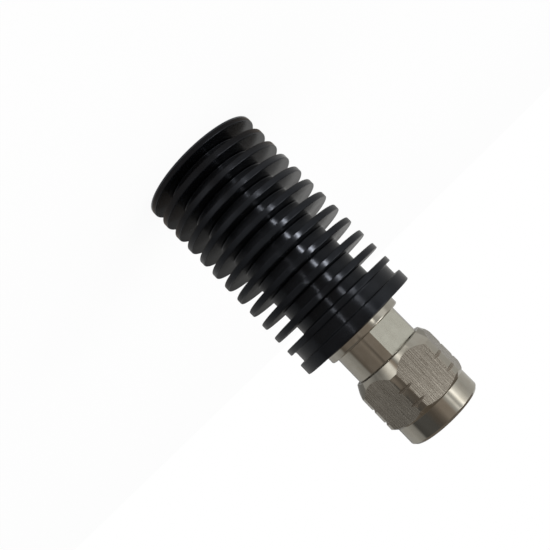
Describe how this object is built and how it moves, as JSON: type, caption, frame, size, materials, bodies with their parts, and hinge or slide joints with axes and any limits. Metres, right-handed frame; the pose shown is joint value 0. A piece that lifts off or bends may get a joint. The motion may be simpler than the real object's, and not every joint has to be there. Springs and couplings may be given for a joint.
{
  "type": "rf dummy load",
  "caption": "Coaxial RF dummy load: a film resistor in a black finned heat sink, behind a screw-on plug with a hexagonal coupling nut that turns freely.",
  "frame": {"origin": "centre of the flat face at the heat sink's closed end", "axes": "+Z along the axis from the closed end towards the plug's mouth; the wrench flats face -Y and +Y"},
  "size_m": [0.0306, 0.0306, 0.0782],
  "materials": {
    "black_anodised_aluminium": "satin black anodised",
    "nickel_plated_brass": "polished nickel plate",
    "spring_steel": "satin",
    "silicone_rubber": "matte",
    "silver_plated_bronze": "satin",
    "ptfe": "matte",
    "gold_plated_brass": "polished",
    "film_on_ceramic": "matte resistive film on alumina",
    "tinned_brass": "satin"
  },
  "bodies": {
    "load": {"heat_sink": "black_anodised_aluminium", "connector_body": "nickel_plated_brass", "retaining_ring": "spring_steel", "gasket": "silicone_rubber", "outer_contact": "silver_plated_bronze", "insulator": "ptfe", "centre_pin": "gold_plated_brass", "resistor_rod": "film_on_ceramic", "front_cap": "tinned_brass", "rear_cap": "tinned_brass"},
    "nut": {"coupling_nut": "nickel_plated_brass"}
  },
  "joints": [
    {"name": "nut_spin", "type": "hinge", "parent": "load", "child": "nut", "pos_m": [0, 0, 0.06217], "axis": [0, 0, 1], "continuous": true}
  ]
}
